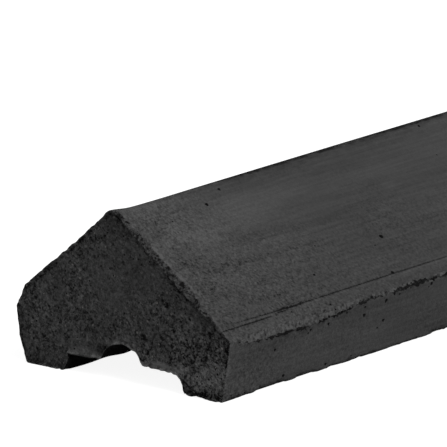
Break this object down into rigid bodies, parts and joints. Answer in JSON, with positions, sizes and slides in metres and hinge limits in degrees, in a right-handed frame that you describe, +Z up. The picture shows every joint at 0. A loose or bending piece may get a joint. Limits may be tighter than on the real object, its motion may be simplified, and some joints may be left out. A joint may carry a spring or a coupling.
{
  "type": "concrete wall cap",
  "caption": "Roof-shaped concrete cap with a rounded ridge, two short sides, and a channel and groove underneath that seat it along the top of a wall or fence panel.",
  "frame": {"origin": "under the middle of the cap, at the level of the two feet it stands on: the centre of the bounding box's bottom", "axes": "+Y along the cap, +X across the wall, +Z up through the ridge"},
  "size_m": [0.1396, 1.84, 0.08],
  "materials": {
    "anthracite_concrete": "through-coloured dark grey precast concrete: close, faintly streaked formed faces, open-grained cut ends and underside"
  },
  "bodies": {
    "root": {"wall_cap": "anthracite_concrete"}
  },
  "joints": []
}
